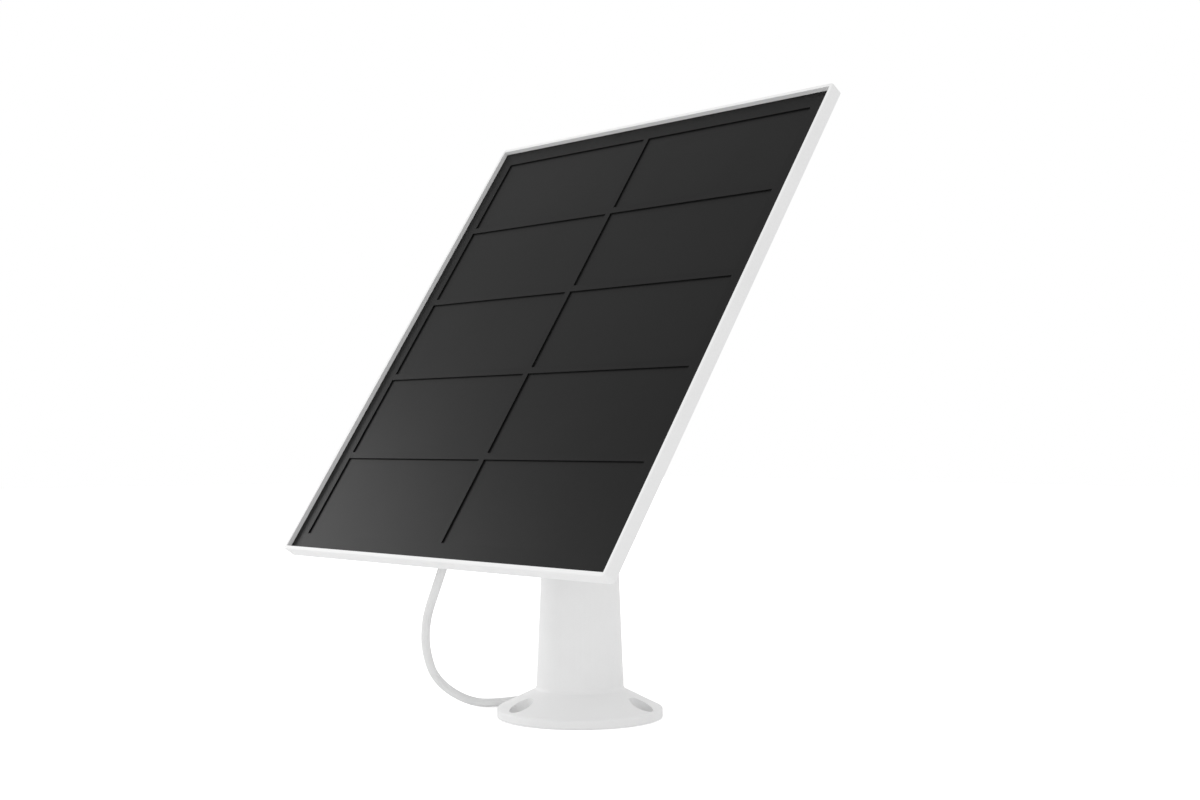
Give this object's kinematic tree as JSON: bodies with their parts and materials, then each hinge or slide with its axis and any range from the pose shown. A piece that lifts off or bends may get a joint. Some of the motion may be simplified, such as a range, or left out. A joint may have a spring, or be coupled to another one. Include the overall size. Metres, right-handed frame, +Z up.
{
  "type": "solar panel on a swivel mount",
  "caption": "Thin solar charging panel in a white frame, tilting and turning on a tapered wall mount with a flared foot, with a white lead and plug.",
  "frame": {"origin": "centre of the mount's flat underside, on the column's axis", "axes": "+Z up the column; +X along the panel's level edge, which is also the tilt axis; the panel's face looks towards -Y and up"},
  "size_m": [0.2002, 0.1722, 0.2213],
  "materials": {
    "white_asa": "fine moulded satin",
    "grey_foam": "closed-cell foam",
    "acetal": "turned, slightly waxy",
    "brass_insert": "turned",
    "stainless": "turned and passivated",
    "grey_knob": "moulded satin with flutes",
    "black_mask": "textured satin laminate",
    "silicon_cell": "coated wafer under satin film",
    "tinned_ribbon": "tin plated",
    "board": "glass-epoxy laminate",
    "film": "soft adhesive film",
    "ferrite": "pressed ferrite",
    "chip": "moulded epoxy",
    "white_tpe": "matt extruded jacket",
    "black_tie": "soft moulded band"
  },
  "bodies": {
    "mount": {"mount_base": "white_asa", "base_gasket": "grey_foam", "swivel_bush": "acetal"},
    "swivel": {"swivel_head": "white_asa", "swivel_insert": "brass_insert", "swivel_friction_washer": "acetal", "swivel_lock_washer": "stainless", "swivel_flat_washer": "stainless", "swivel_bolt": "stainless", "cord_run": "white_tpe", "cord_hank": "white_tpe", "hank_tie": "black_tie", "plug_boot": "white_tpe", "plug_grip": "white_asa", "plug_shell": "stainless"},
    "panel": {"tilt_bracket": "white_asa", "hinge_bolt": "stainless", "hinge_washer_right": "acetal", "hinge_washer_left": "acetal", "knob_washer": "stainless", "panel_frame": "white_asa", "adhesive_film": "film", "cell_board": "board", "cell_mask": "black_mask", "solar_cells": "silicon_cell", "cell_ribbons": "tinned_ribbon", "rear_housing": "white_asa", "housing_seal": "grey_foam", "housing_screws": "stainless", "bracket_screws": "stainless", "bracket_inserts": "brass_insert", "regulator_board": "board", "regulator_coil": "ferrite", "regulator_chips": "chip", "regulator_screws": "stainless", "cell_leads": "tinned_ribbon", "cord_wires": "tinned_ribbon", "cable_gland": "white_tpe", "cord_inner_end": "white_tpe"},
    "knob": {"tilt_knob": "grey_knob", "knob_insert": "brass_insert"}
  },
  "joints": [
    {"name": "pan", "type": "hinge", "parent": "mount", "child": "swivel", "pos_m": [0, 0, 0.106], "axis": [0, 0, 1], "range_deg": [-170, 170]},
    {"name": "tilt", "type": "hinge", "parent": "swivel", "child": "panel", "pos_m": [0, 0, 0.1295], "axis": [-1, 0, 0], "range_deg": [-18.18, 56.82], "deforming": ["cord_run"]},
    {"name": "knob_turn", "type": "hinge", "parent": "panel", "child": "knob", "pos_m": [0.015, 0, 0.1295], "axis": [1, 0, 0], "range_deg": [0, 360]}
  ]
}
